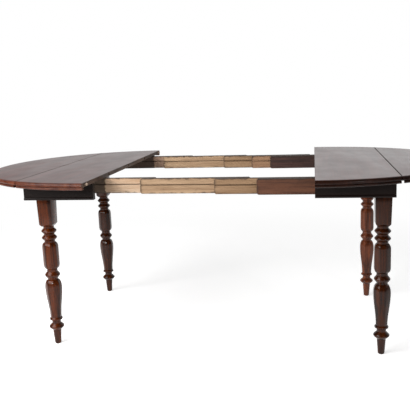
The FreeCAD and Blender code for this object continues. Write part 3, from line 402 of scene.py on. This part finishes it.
def rail_dirt_and_shade(node):
    """What darkens a rail: dirt on its top, dirt and painted shade along its outline, and painted
    shadow of the left board.
    """
    low, high = (Vector(corner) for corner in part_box(node))
    middle = (low + high) / 2
    reach = (high - low) / 2
    stray, end_width, arris_width = 4 * MM, 12 * MM, 6 * MM
    # Painted shadow of the left half's board: the rail is darkened from just right of its meeting
    # edge leftwards.
    board_shade_edge = 2 * MM - sizes().opening / 2      # just right of the left half's meeting edge
    board_shade_fade = 8 * MM

    def dirt_and_shade(add, coordinates, patches):
        place = coordinates.outputs["Object"]
        marks = blots(add, place, X, width=14 * MM, reach=26 * MM, Detail=4)
        fray = add("ShaderNodeMapRange", {
            "Value": marks, "From Min": 0.3, "From Max": 0.7, "To Min": -stray, "To Max": stray})
        off = add("ShaderNodeVectorMath", {0: place, 1: middle}, operation="SUBTRACT")
        off = add("ShaderNodeVectorMath", {0: off}, operation="ABSOLUTE")
        off = add("ShaderNodeVectorMath", {0: off, 1: fray}, operation="ADD")
        off = add("ShaderNodeSeparateXYZ", {"Vector": off})
        # Dirt and painted shade at the rail's ends.
        end = add("ShaderNodeMapRange", {
            "Value": off.outputs["X"], "From Min": reach.x - end_width, "From Max": reach.x,
            "To Max": 0.7}, interpolation_type="SMOOTHSTEP")
        # Dirt and painted shade along the rail's upper and lower edges.
        arris = add("ShaderNodeMapRange", {
            "Value": off.outputs["Z"], "From Min": reach.z - arris_width, "From Max": reach.z,
            "To Max": 0.75}, interpolation_type="SMOOTHSTEP")
        upward = add("ShaderNodeSeparateXYZ", {"Vector": coordinates.outputs["Normal"]})
        top = add("ShaderNodeMath", {
            0: add("ShaderNodeMapRange", {
                "Value": upward.outputs["Z"], "From Min": 0.3, "From Max": 0.8}),
            1: add("ShaderNodeMapRange", {
                "Value": patches, "From Min": 0.25, "From Max": 0.6,
                "To Min": 0.75, "To Max": 0.97})}, operation="MULTIPLY")
        stains = add("ShaderNodeMapRange", {
            "Value": marks, "From Min": 0.64, "From Max": 0.76, "To Max": 0.3})
        parted = add("ShaderNodeSeparateXYZ", {"Vector": place})
        # Painted shadow of the left board over the end of the rail that stays under it, in the
        # aprons' dark colour.
        board_shade = add("ShaderNodeMapRange", {
            "Value": add("ShaderNodeMath", {0: parted.outputs["X"], 1: fray}, operation="ADD"),
            "From Min": board_shade_edge + board_shade_fade, "From Max": board_shade_edge, "To Max": 0.85},
            interpolation_type="SMOOTHSTEP")
        return [*((finish().grime_and_shade, share) for share in (top, end, arris, stains)),
                (finish().frame_light_and_shade, board_shade)]
    return dirt_and_shade


def planed_rail(node, wood_name, dark, light):
    # Planed wood without polish: dull, with short flecks, dirt where dust and hands reach it, and
    # painted shade at its ends, along its edges and under the left board.
    return wood(
        f"{wood_name}, {node.replace('_', ' ')}", X, dark, light,
        figure=(14 * MM, 420 * MM), line=(4 * MM, 90 * MM), pore=(1.5 * MM, 9 * MM),
        gloss=0.62, haze=0.08, depth=0.45, dirt_and_shade=rail_dirt_and_shade(node), specular=0.3)


def turned_beech():
    # Beech dowels, bare: pale and dull, with fine short flecks.
    return wood(
        "Turned beech", X, finish().beech_dark, finish().beech_light,
        figure=(6 * MM, 90 * MM), line=(2 * MM, 30 * MM), pore=(1 * MM, 6 * MM),
        gloss=0.6, haze=0.08, depth=0.4)


def planed_oak(name, along):
    # Inner wood, brown with age: open pores and no finish.
    return wood(
        name, along, finish().inner_dark, finish().inner_light,
        figure=(18 * MM, 300 * MM), line=(4 * MM, 100 * MM), pore=(1.5 * MM, 14 * MM),
        gloss=0.7, haze=0.06, depth=0.6)


def metal(name, tint, gloss, grain):
    """Metal with dirt in a mottled surface, whose blots are as large as the grain."""
    material, add, coordinates = new_material(name)
    mottle = blots(add, coordinates.outputs["Object"], X, grain, grain, Detail=4)
    dirt = add("ShaderNodeMapRange", {
        "Value": mottle, "From Min": 0.45, "From Max": 0.7, "To Max": 0.7})
    surface = add(
        "ShaderNodeMix", {"Factor": dirt, MIX_COLOUR_A: tint, MIX_COLOUR_B: finish().grime_and_shade},
        data_type="RGBA")
    bump = add("ShaderNodeBump", {"Strength": 0.4, "Distance": 0.2 * MM, "Height": mottle})
    sheen = add("ShaderNodeMapRange", {
        "Value": mottle, "From Min": 0.3, "From Max": 0.7,
        "To Min": gloss - 0.1, "To Max": gloss + 0.15})
    shader = add("ShaderNodeBsdfPrincipled", {
        "Base Color": surface, "Metallic": 1, "Normal": bump, "Roughness": sheen})
    add("ShaderNodeOutputMaterial", {"Surface": shader})
    return material


def wrought_iron():
    # Forged hinge plates: dark grey with rust bloom.
    return metal("Wrought iron", finish().iron, gloss=0.5, grain=6 * MM)


def drawn_steel():
    # Old wood screws: dull steel.
    return metal("Drawn steel", finish().steel, gloss=0.4, grain=3 * MM)


def cover(material, *names):
    """Gives CAD nodes a material."""
    for name in names:
        for slot in NODES[name].material_slots:
            slot.material = material


# --------------------------------------------------------------------------------------- pieces

def take(piece):
    """Makes the piece the only one selected, and the active one."""
    bpy.ops.object.select_all(action="DESELECT")
    piece.select_set(True)
    bpy.context.view_layer.objects.active = piece


def copied(mesh, name):
    """A new object with its own copy of the mesh."""
    piece = bpy.data.objects.new(name, mesh.copy())
    bpy.context.scene.collection.objects.link(piece)
    take(piece)
    return piece


def joined(pieces, name):
    """The pieces as one object."""
    whole = pieces[0]
    take(whole)
    for piece in pieces:
        piece.select_set(True)
    bpy.ops.object.join()
    whole.name = name
    return whole


def shape_of_revolution(sides, levels, turn=0.0):
    """A closed shape about the Z axis through (height, radius) levels, given from its foot up."""
    (height, radius), *others = levels
    bpy.ops.object.select_all(action="DESELECT")
    bpy.ops.mesh.primitive_circle_add(vertices=sides, radius=radius, fill_type="NGON",
                                      location=(0, 0, height), rotation=(0, 0, turn))
    bpy.ops.object.transform_apply()
    bpy.ops.object.mode_set(mode="EDIT")
    bpy.ops.mesh.select_all(action="SELECT")
    for next_height, next_radius in others:
        bpy.ops.mesh.extrude_region_move(
            TRANSFORM_OT_translate={"value": (0, 0, next_height - height)})
        share = next_radius / radius
        bpy.ops.transform.resize(value=(share, share, 1), center_override=(0, 0, next_height))
        height, radius = next_height, next_radius
    bpy.ops.mesh.select_all(action="SELECT")
    bpy.ops.mesh.normals_make_consistent(inside=False)
    bpy.ops.object.mode_set(mode="OBJECT")
    return bpy.context.active_object


def with_round_edges(piece, width):
    """Rounds the piece's sharp edges, and shades the rest smooth."""
    take(piece)
    bevel = piece.modifiers.new("Round edges", "BEVEL")
    bevel.width = width
    bevel.segments = 2
    bevel.limit_method = "ANGLE"
    bevel.angle_limit = ROUNDED_ANGLE
    bpy.ops.object.modifier_apply(modifier=bevel.name)
    bpy.ops.object.shade_smooth_by_angle(angle=SMOOTH_ANGLE)
    return piece


def stand_for(piece, node, material=None):
    """Puts a new piece in the place of a CAD node."""
    if material is not None:
        piece.data.materials.clear()
        piece.data.materials.append(material)
    piece.name = f"{node}_shape"
    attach(piece, NODES[node]["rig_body"])
    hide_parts(node)


def select_edges(mesh, chosen):
    """Selects the edges whose two ends the test accepts."""
    for kind in (mesh.vertices, mesh.edges, mesh.polygons):
        for item in kind:
            item.select = False
    for edge in mesh.edges:
        first, second = (mesh.vertices[number].co for number in edge.vertices)
        edge.select = chosen(first, second)
        if edge.select:
            for number in edge.vertices:
                mesh.vertices[number].select = True


# ------------------------------------------------------------------------------------ operators

def board_in_shape(node, top, rim, sawn, underside):
    """A board or leaf with rounded straight arrises, and a material for each kind of face."""
    edge = sizes().opening / 2
    joint = edge + sizes().board_width
    lines = (edge, joint, joint + sizes().leaf_gap)
    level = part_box(node)[1][Z]

    def on_arris(first, second):
        return all(level - point.z < ON_LINE
                   and min(abs(abs(point.x) - line) for line in lines) < ON_LINE
                   for point in (first, second)) and abs(first.x - second.x) < ON_LINE

    piece = copied(NODES[node].data, node)
    bpy.ops.object.mode_set(mode="EDIT")
    bpy.ops.mesh.select_mode(type="EDGE")
    bpy.ops.mesh.select_all(action="SELECT")
    bpy.ops.mesh.customdata_custom_splitnormals_clear()
    bpy.ops.mesh.remove_doubles(threshold=SAME_POINT)
    bpy.ops.mesh.dissolve_limited(angle_limit=FLAT_ANGLE)
    bpy.ops.object.mode_set(mode="OBJECT")
    select_edges(piece.data, on_arris)
    bpy.ops.object.mode_set(mode="EDIT")
    bpy.ops.mesh.bevel(offset=sizes().arris, segments=2, affect="EDGES")
    bpy.ops.object.mode_set(mode="OBJECT")
    bpy.ops.object.shade_smooth_by_angle(angle=BOARD_SMOOTH_ANGLE)
    piece.data.materials.clear()
    for material in (top, rim, sawn, underside):
        piece.data.materials.append(material)
    for face in piece.data.polygons:
        by_joint = -BY_JOINT < abs(face.center.x) - joint < sizes().leaf_gap + BY_JOINT
        if face.normal.z < -STRAIGHT or by_joint and abs(face.normal.y) < HARDLY:
            face.material_index = UNDERSIDE
        elif face.normal.z > ROUGHLY:
            face.material_index = TOP
        elif abs(face.normal.x) > STRAIGHT and abs(face.center.x) < joint:
            face.material_index = SAWN
        else:
            face.material_index = RIM
    stand_for(piece, node)


class TABLE_OT_polish_boards(bpy.types.Operator):
    """Shape and finish the fixed boards and the leaves, and finish their beads"""
    bl_idname = "table.polish_boards"
    bl_label = "Polish Boards"

    def execute(self, context):
        shades = finish()
        top = french_polished_mahogany()
        sawn = sawn_mahogany("Sawn mahogany edge", shades.raw_edge)
        underside = sawn_mahogany("Sawn mahogany underside", shades.raw_under)
        # The right rim takes the darker colours of painted shade.
        rims = {"left": rubbed_mahogany("left", shades.rim_dark, shades.rim_light),
                "right": rubbed_mahogany("right", shades.shaded_rim_dark, shades.shaded_rim_light)}
        for half in HALVES:
            for piece in ("fixed_board", "drop_leaf"):
                board_in_shape(f"{half}_{piece}", top, rims[half], sawn, underside)
            cover(rims[half], f"{half}_board_bead", f"{half}_leaf_bead")
        return {"FINISHED"}


def ring_levels(foot, head, root, top):
    """Levels of a turned ring: two slopes that meet in a soft arris."""
    rising = [(share, root + swell * (top - root)) for share, swell in RING_SECTION]
    falling = [(1 - share, radius) for share, radius in reversed(rising[:-1])]
    return [(foot + share * (head - foot), radius) for share, radius in rising + falling]


def turned_work(heights):
    """The round work of a leg from the peg up to the neck under the block."""
    size = sizes()
    collar_foot, collar_head = heights["collar"]
    slope = (collar_head - collar_foot) / 3
    levels = [(0, size.peg_tip - size.peg_bevel), (size.peg_bevel, size.peg_tip),
              (heights["peg"][1], size.peg_top)]
    levels += ring_levels(*heights["foot ring"], size.ankle, size.ring)
    levels += [(collar_foot, size.ankle), (collar_foot + slope, size.collar),
               (collar_head - slope, size.collar), (collar_head, size.vase_foot / 2),
               (heights["vase"][1], size.vase_top / 2)]
    for name in ("middle ring", "lower ring", "upper ring"):
        levels += ring_levels(*heights[name], size.neck, size.ring)
    levels.append((heights["block cant"][0], size.neck))
    return shape_of_revolution(TURNED_SIDES, levels)


def flat_sided(sides, levels):
    """Work with flat sides that face front and sides, through (height, width) levels."""
    corner = 2 * math.cos(math.pi / sides)
    return shape_of_revolution(sides, [(height, width / corner) for height, width in levels],
                               math.pi / sides)


def vase(heights):
    """The eight-sided vase: a slow swelling under a dome."""
    size = sizes()
    foot, head = heights["vase"]
    belly = foot + (head - foot) * VASE_BELLY
    levels = []
    for step in range(VASE_STEPS + 1):
        share = step / VASE_STEPS
        levels.append((foot + share * (belly - foot), size.vase_foot
                       + (size.vase_belly - size.vase_foot) * (1 - math.cos(math.pi * share)) / 2))
    for step in range(1, DOME_STEPS + 1):
        angle = math.pi / 2 * step / DOME_STEPS
        levels.append((belly + (head - belly) * math.sin(angle), size.vase_top
                       + (size.vase_belly - size.vase_top) * math.cos(angle)))
    return flat_sided(FACETED_SIDES, levels)


def barrel(heights):
    """The eight-sided barrel, its ends rounded off."""
    size = sizes()
    foot, head = heights["barrel"]
    widths = [(rise * size.shoulder, size.barrel_end + share * (size.barrel - size.barrel_end))
              for rise, share in BARREL_SHOULDER]
    return flat_sided(FACETED_SIDES, [(foot + rise, width) for rise, width in widths]
                      + [(head - rise, width) for rise, width in reversed(widths)])


def square_block(heights):
    """The square block, canted at its foot and notched above for the end rail."""
    size = sizes()
    foot, head = heights["block cant"]
    lower = flat_sided(BLOCK_SIDES, [
        (foot, 2 * size.neck), (head, size.block_foot), (size.apron_foot, size.block)])
    upper = flat_sided(BLOCK_SIDES, [
        (size.apron_foot - BLOCK_LAP, size.block), (size.underside, size.block)])
    bpy.ops.object.mode_set(mode="EDIT")
    bpy.ops.mesh.select_all(action="SELECT")
    share = 1 - size.apron_thickness / size.block
    bpy.ops.transform.resize(value=(share, 1, 1), center_override=(-size.block / 2, 0, 0))
    bpy.ops.object.mode_set(mode="OBJECT")
    return [lower, upper]


def leg_pattern():
    """One leg about the Z axis, its notch towards +X."""
    heights = {}
    level = 0
    for name, height in LEG_LENGTHS:
        heights[name] = (level, level + height * MM)
        level += height * MM
    work = turned_work(heights)
    take(work)
    bpy.ops.object.shade_smooth_by_angle(angle=SMOOTH_ANGLE)
    flat = [with_round_edges(piece, sizes().leg_arris)
            for piece in (vase(heights), barrel(heights), *square_block(heights))]
    return joined([work, *flat], "Leg")


class TABLE_OT_turn_legs(bpy.types.Operator):
    """Turn one leg, set up the four of them and polish them"""
    bl_idname = "table.turn_legs"
    bl_label = "Turn Legs"

    def execute(self, context):
        shades = finish()
        plain = polished_turned_mahogany("Turned mahogany", shades.leg_dark, shades.leg_light)
        lit_tone = polished_turned_mahogany(
            "Pale turned mahogany", shades.lit_leg_dark, shades.lit_leg_light)
        shaded_tone = polished_turned_mahogany(
            "Dark turned mahogany", shades.shaded_leg_dark, shades.shaded_leg_light)
        # The right back leg takes painted light, the right front and left back legs painted shade.
        tones = {"left_front": plain, "right_back": lit_tone, "left_back": shaded_tone, "right_front": shaded_tone}
        pattern = leg_pattern()
        reach = sizes().opening / 2 + sizes().leg_inset
        for half, way, turn in (("left", -1, math.pi), ("right", 1, 0)):
            for depth, side in (("front", -1), ("back", 1)):
                leg = copied(pattern.data, f"{half}_{depth}_leg_shape")
                leg.rotation_euler.z = turn
                leg.location = (way * reach, side * sizes().leg_line, 0)
                bpy.ops.object.transform_apply(location=True, rotation=True)
                stand_for(leg, f"{half}_{depth}_leg", tones[f"{half}_{depth}"])
        bpy.data.objects.remove(pattern)
        return {"FINISHED"}


class TABLE_OT_stain_aprons(bpy.types.Operator):
    """Finish the aprons, their beads and the end rails"""
    bl_idname = "table.stain_aprons"
    bl_label = "Stain Aprons"

    def execute(self, context):
        along = stained_mahogany("Stained mahogany apron", X)
        across = stained_mahogany("Stained mahogany end rail", Y)
        bead = stained_mahogany("Stained mahogany bead", X)
        for half in HALVES:
            cover(across, f"{half}_end_rail")
            for depth in DEPTHS:
                cover(along, f"{half}_{depth}_apron")
                cover(bead, f"{half}_{depth}_apron_bead")
        return {"FINISHED"}


class TABLE_OT_plane_slides(bpy.types.Operator):
    """Finish the rails of both slides"""
    bl_idname = "table.plane_slides"
    bl_label = "Plane Slides"

    def execute(self, context):
        shades = finish()
        for node, dark, light in (
                ("front_slide_rail_1", shades.rail_1_dark, shades.rail_1_light),
                ("front_slide_rail_2", shades.rail_2_dark, shades.rail_2_light),
                ("front_slide_rail_3", shades.rail_3_dark, shades.rail_3_light),
                ("back_slide_rail_1", shades.back_1_dark, shades.back_1_light),
                ("back_slide_rail_2", shades.rail_2_dark, shades.rail_2_light),
                ("back_slide_rail_3", shades.rail_3_dark, shades.rail_3_light),
                ("back_slide_rail_4", shades.back_4_dark, shades.back_4_light)):
            cover(planed_rail(node, "Planed beech", dark, light), node)
        for node, dark, light in (
                ("front_slide_rail_4", shades.front_4_dark, shades.front_4_light),
                ("back_slide_rail_5", shades.back_5_dark, shades.back_5_light)):
            cover(planed_rail(node, "Planed mahogany", dark, light), node)
        return {"FINISHED"}


class TABLE_OT_turn_dowels(bpy.types.Operator):
    """Turn one alignment dowel with a domed end and set in the two of them"""
    bl_idname = "table.turn_dowels"
    bl_label = "Turn Dowels"

    def execute(self, context):
        node = "left_alignment_dowels"
        low, high = (Vector(corner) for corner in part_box(node))
        radius = (high.z - low.z) / 2
        end = high.x - low.x
        dome = [(end - rise * radius, share * radius) for rise, share in DOWEL_DOME]
        pattern = shape_of_revolution(DOWEL_SIDES, [(0, radius), *dome])
        take(pattern)
        bpy.ops.object.shade_smooth_by_angle(angle=SMOOTH_ANGLE)
        pair = []
        for line in (low.y + radius, high.y - radius):
            dowel = copied(pattern.data, "Dowel")
            dowel.rotation_euler.y = math.pi / 2
            dowel.location = (low.x, line, (low.z + high.z) / 2)
            bpy.ops.object.transform_apply(location=True, rotation=True)
            pair.append(dowel)
        bpy.data.objects.remove(pattern)
        stand_for(joined(pair, node), node, turned_beech())
        return {"FINISHED"}


class TABLE_OT_plane_inner_wood(bpy.types.Operator):
    """Finish the wood under the top that doesn't show"""
    bl_idname = "table.plane_inner_wood"
    bl_label = "Plane Inner Wood"

    def execute(self, context):
        along = planed_oak("Planed oak along the table", X)
        across = planed_oak("Planed oak across the table", Y)
        upright = planed_oak("Planed oak, upright", Z)
        cover(along, "right_slide_packing")
        for half in HALVES:
            cover(upright, f"{half}_corner_blocks")
            cover(across, f"{half}_cross_batten")
            cover(along, f"{half}_support_guides",
                  *(f"{half}_{depth}_leaf_support" for depth in DEPTHS))
        return {"FINISHED"}


class TABLE_OT_finish_fittings(bpy.types.Operator):
    """Finish the hinges and the screws"""
    bl_idname = "table.finish_fittings"
    bl_label = "Finish Fittings"

    def execute(self, context):
        iron = wrought_iron()
        steel = drawn_steel()
        for half in HALVES:
            cover(iron, *(f"{half}_{piece}" for piece in
                          ("board_hinge_plates", "leaf_hinge_plates", "hinge_pins")))
            cover(steel, *(f"{half}_{piece}_screws" for piece in
                           ("board_hinge", "leaf_hinge", "batten", "slide")))
        return {"FINISHED"}


# ---------------------------------------------------------------------------------------- stage

def studio_floor():
    # Matt white paper that keeps a faint shadow of the object and runs out into plain white.
    material, add, coordinates = new_material("Matt white paper")
    path = add("ShaderNodeLightPath", {})
    seen = add("ShaderNodeMath", {0: path.outputs["Is Camera Ray"],
                                  1: path.outputs["Is Glossy Ray"]}, operation="MAXIMUM")
    seen = add("ShaderNodeMath", {0: seen, 1: path.outputs["Is Transmission Ray"]},
               operation="MAXIMUM")
    glow = add("ShaderNodeMath", {0: seen, 1: 1 - FLOOR_SHARE}, operation="MULTIPLY")
    paper = add("ShaderNodeAddShader", {
        0: add("ShaderNodeBsdfDiffuse", {"Color": finish().floor}),
        1: add("ShaderNodeEmission", {"Color": finish().white, "Strength": glow})})
    white = add("ShaderNodeEmission", {"Color": finish().white, "Strength": seen})
    out = add("ShaderNodeVectorMath", {0: coordinates.outputs["Object"]}, operation="LENGTH")
    near, far = FLOOR_FADE
    edge = add("ShaderNodeMapRange", {
        "Value": out.outputs["Value"], "From Min": near, "From Max": far},
        interpolation_type="SMOOTHSTEP")
    both = add("ShaderNodeMixShader", {0: edge, 1: paper, 2: white})
    add("ShaderNodeOutputMaterial", {"Surface": both})
    return material


def add_floor():
    """A wide floor just under the feet."""
    bpy.ops.object.select_all(action="DESELECT")
    bpy.ops.mesh.primitive_plane_add(size=FLOOR_SIZE, location=(0, 0, -FLOOR_DROP))
    floor = bpy.context.active_object
    floor.name = "Floor"
    bpy.ops.object.transform_apply(location=True)
    floor.data.materials.append(studio_floor())


def add_world(view):
    """A white room whose reflections are dimmer on the front side."""
    world = bpy.data.worlds.new("White room")
    world.use_nodes = True
    world.node_tree.nodes.clear()
    add = functools.partial(add_node, world.node_tree)
    way = add("ShaderNodeTexCoord", {}).outputs["Generated"]
    path = add("ShaderNodeLightPath", {})
    away = add("ShaderNodeVectorMath", {0: way, 1: BRIGHT_SIDE}, operation="DOT_PRODUCT")
    gloss = add("ShaderNodeMapRange", {
        "Value": away, "From Min": BRIGHT_FROM, "From Max": 1,
        "To Min": view.front_gloss, "To Max": view.back_gloss})
    strength = add("ShaderNodeMix", {
        "Factor": path.outputs["Is Glossy Ray"], MIX_A: view.fill, MIX_B: gloss})
    seen = add("ShaderNodeMath", {0: path.outputs["Is Camera Ray"],
                                  1: path.outputs["Is Transmission Ray"]}, operation="MAXIMUM")
    strength = add("ShaderNodeMix", {"Factor": seen, MIX_A: strength, MIX_B: 1})
    background = add("ShaderNodeBackground", {"Color": finish().white, "Strength": strength})
    add("ShaderNodeOutputWorld", {"Surface": background})
    bpy.context.scene.world = world


def add_lamp(name, place, width, power):
    """A square lamp that faces the table."""
    lamp = bpy.data.lights.new(name, "AREA")
    lamp.size = width
    lamp.energy = power
    holder = bpy.data.objects.new(name, lamp)
    bpy.context.scene.collection.objects.link(holder)
    aim = (Vector(LAMP_TARGET) - Vector(place)).to_track_quat("-Z", "Y")
    holder.matrix_world = Matrix.Translation(place) @ aim.to_matrix().to_4x4()


def add_camera(view):
    """The camera, turned, tipped and rolled from level."""
    camera = bpy.data.cameras.new("Camera")
    camera.lens = view.lens
    camera.sensor_width = view.sensor
    holder = bpy.data.objects.new("Camera", camera)
    bpy.context.scene.collection.objects.link(holder)
    holder.matrix_world = (
        Matrix.Translation(view.camera_place)
        @ Matrix.Rotation(-view.camera_yaw, 4, "Z")
        @ Matrix.Rotation(math.pi / 2 - view.camera_pitch, 4, "X")
        @ Matrix.Rotation(view.camera_roll, 4, "Z"))
    bpy.context.scene.camera = holder


class TABLE_OT_set_stage(bpy.types.Operator):
    """Add the floor, the room, the lamps and the camera"""
    bl_idname = "table.set_stage"
    bl_label = "Set Stage"

    def execute(self, context):
        view = context.scene.table_view
        add_floor()
        add_world(view)
        for name, place, width, power in LAMPS:
            add_lamp(name, place, width, getattr(view, power))
        add_camera(view)
        context.scene.view_settings.view_transform = "Standard"
        return {"FINISHED"}


class TABLE_PT_maker(bpy.types.Panel):
    """Steps that dress the table"""
    bl_label = "Round Extending Table"
    bl_idname = "TABLE_PT_maker"
    bl_space_type = "VIEW_3D"
    bl_region_type = "UI"
    bl_category = "Table"

    def draw(self, context):
        for step in STEPS:
            self.layout.operator(step.bl_idname)
        scene = context.scene
        for group in (scene.table_sizes, scene.table_finish, scene.table_view):
            box = self.layout.box()
            for name in group.bl_rna.properties.keys():
                if name not in ("rna_type", "name"):
                    box.prop(group, name)


STEPS = (
    TABLE_OT_polish_boards,
    TABLE_OT_turn_legs,
    TABLE_OT_stain_aprons,
    TABLE_OT_plane_slides,
    TABLE_OT_turn_dowels,
    TABLE_OT_plane_inner_wood,
    TABLE_OT_finish_fittings,
    TABLE_OT_set_stage,
)
CLASSES = (TableSizes, TableFinish, TableView, *STEPS, TABLE_PT_maker)


def register():
    for kind in CLASSES:
        bpy.utils.register_class(kind)
    bpy.types.Scene.table_sizes = bpy.props.PointerProperty(type=TableSizes)
    bpy.types.Scene.table_finish = bpy.props.PointerProperty(type=TableFinish)
    bpy.types.Scene.table_view = bpy.props.PointerProperty(type=TableView)


def unregister():
    del bpy.types.Scene.table_sizes
    del bpy.types.Scene.table_finish
    del bpy.types.Scene.table_view
    for kind in reversed(CLASSES):
        bpy.utils.unregister_class(kind)


def main():
    register()
    bpy.ops.table.polish_boards()
    bpy.ops.table.turn_legs()
    bpy.ops.table.stain_aprons()
    bpy.ops.table.plane_slides()
    bpy.ops.table.turn_dowels()
    bpy.ops.table.plane_inner_wood()
    bpy.ops.table.finish_fittings()
    bpy.ops.table.set_stage()


if __name__ == "__main__":
    main()
